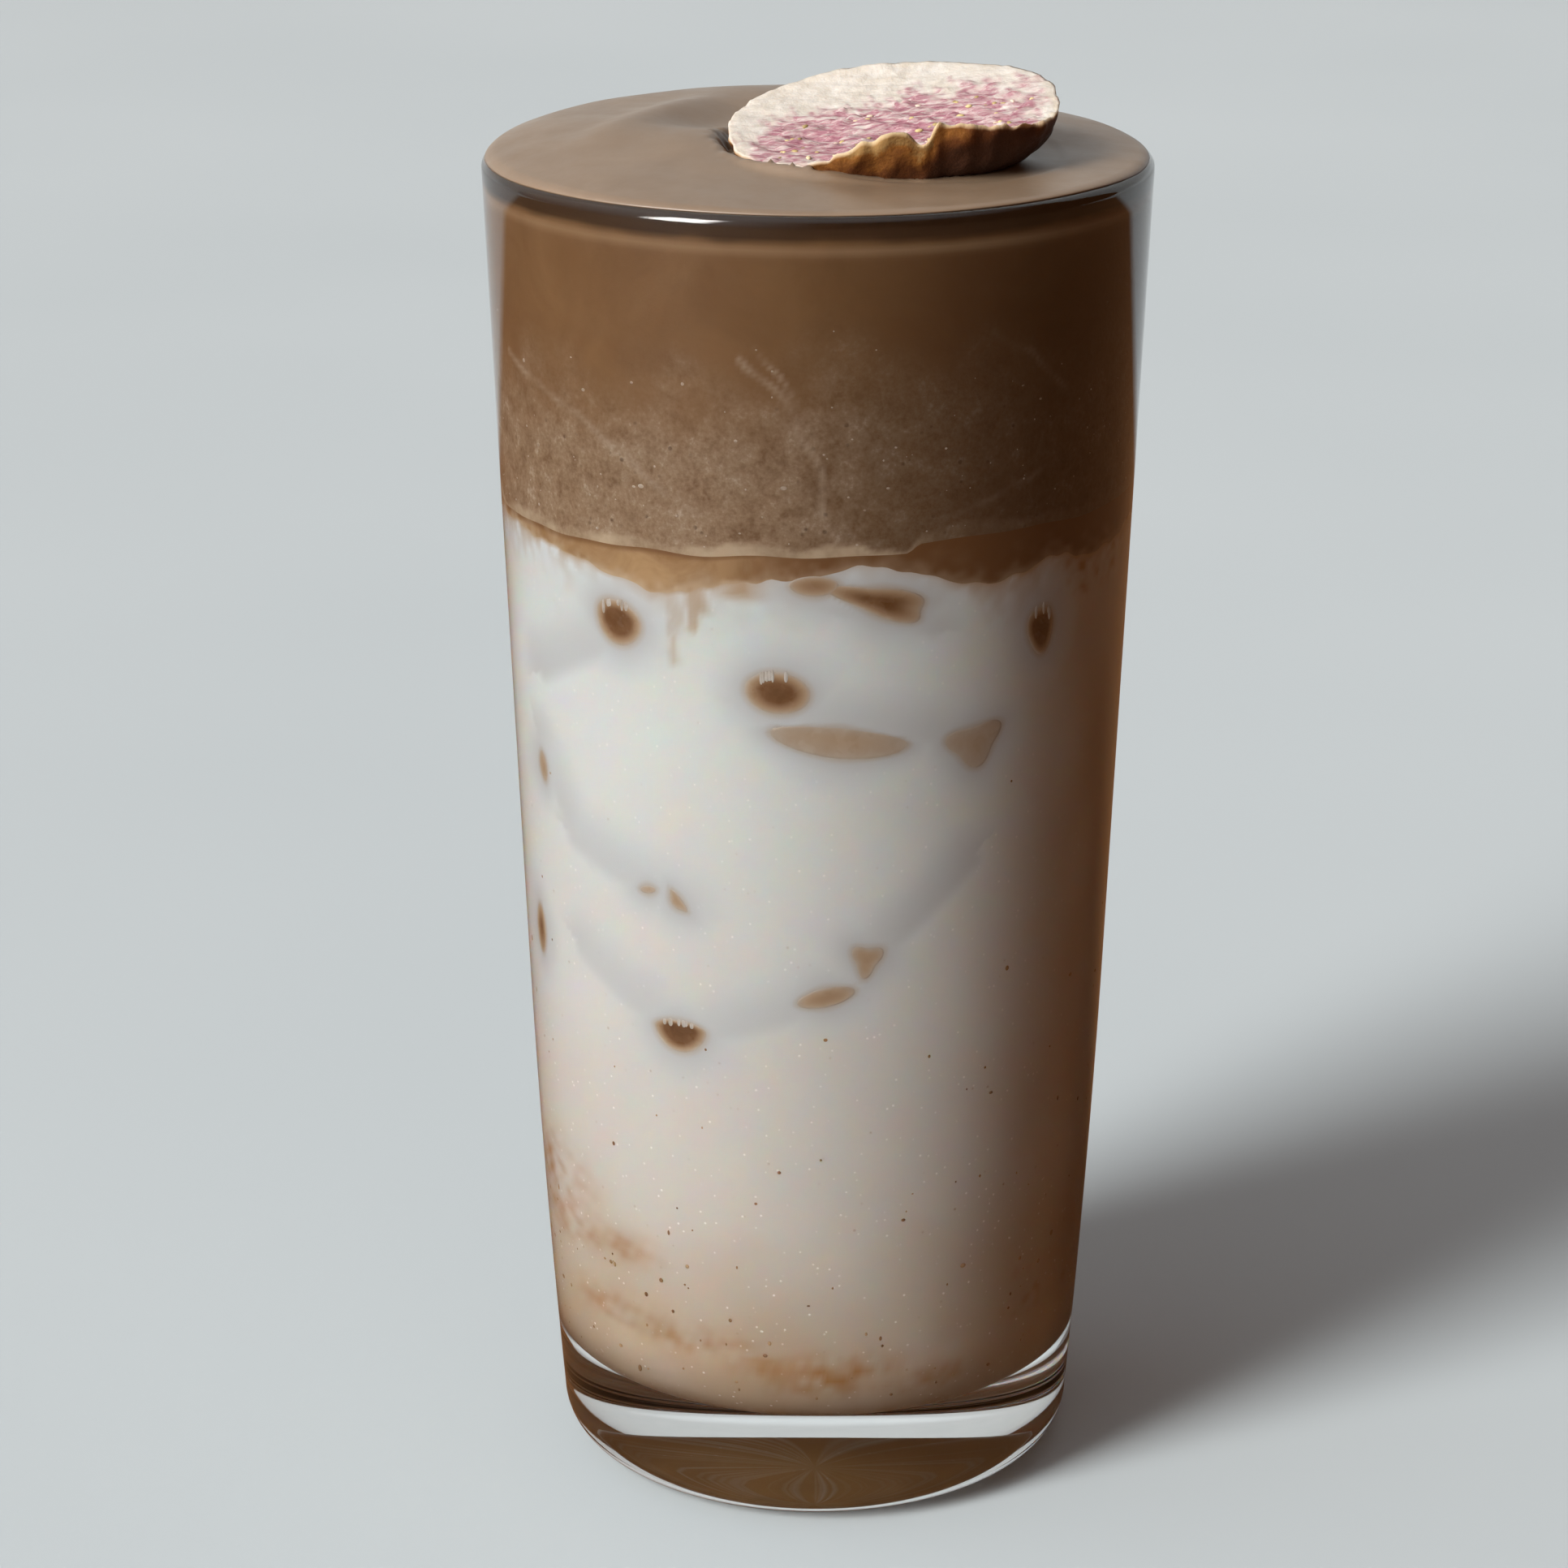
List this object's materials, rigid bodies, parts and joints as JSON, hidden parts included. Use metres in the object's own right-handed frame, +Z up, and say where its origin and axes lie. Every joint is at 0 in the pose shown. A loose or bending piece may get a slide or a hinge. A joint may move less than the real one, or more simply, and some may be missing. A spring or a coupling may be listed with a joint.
{
  "type": "iced hojicha latte in a glass",
  "caption": "Tall tapered clear glass with a thick base, filled with milk, a thin tea layer and a thick brown tea foam that domes over the rim and carries a slice of dried fig.",
  "frame": {"origin": "centre of the foot, on the surface that the glass stands on", "axes": "+Z up along the axis of the glass, -Y to the front, where the torn rim of the fig slice is"},
  "size_m": [0.0726, 0.0726, 0.159],
  "materials": {
    "clear_glass": "polished clear glass",
    "milk": "cold milk with fine tea specks, seen through the wall",
    "tea": "milky tea, seen through the wall",
    "foam": "satin tea foam with fine bubbles at the wall",
    "fig": "dry cream flesh, pink seedy middle, brown skin"
  },
  "bodies": {
    "root": {"glass": "clear_glass", "milk": "milk", "tea_layer": "tea", "hojicha_foam": "foam", "fig_slice": "fig"}
  },
  "joints": []
}
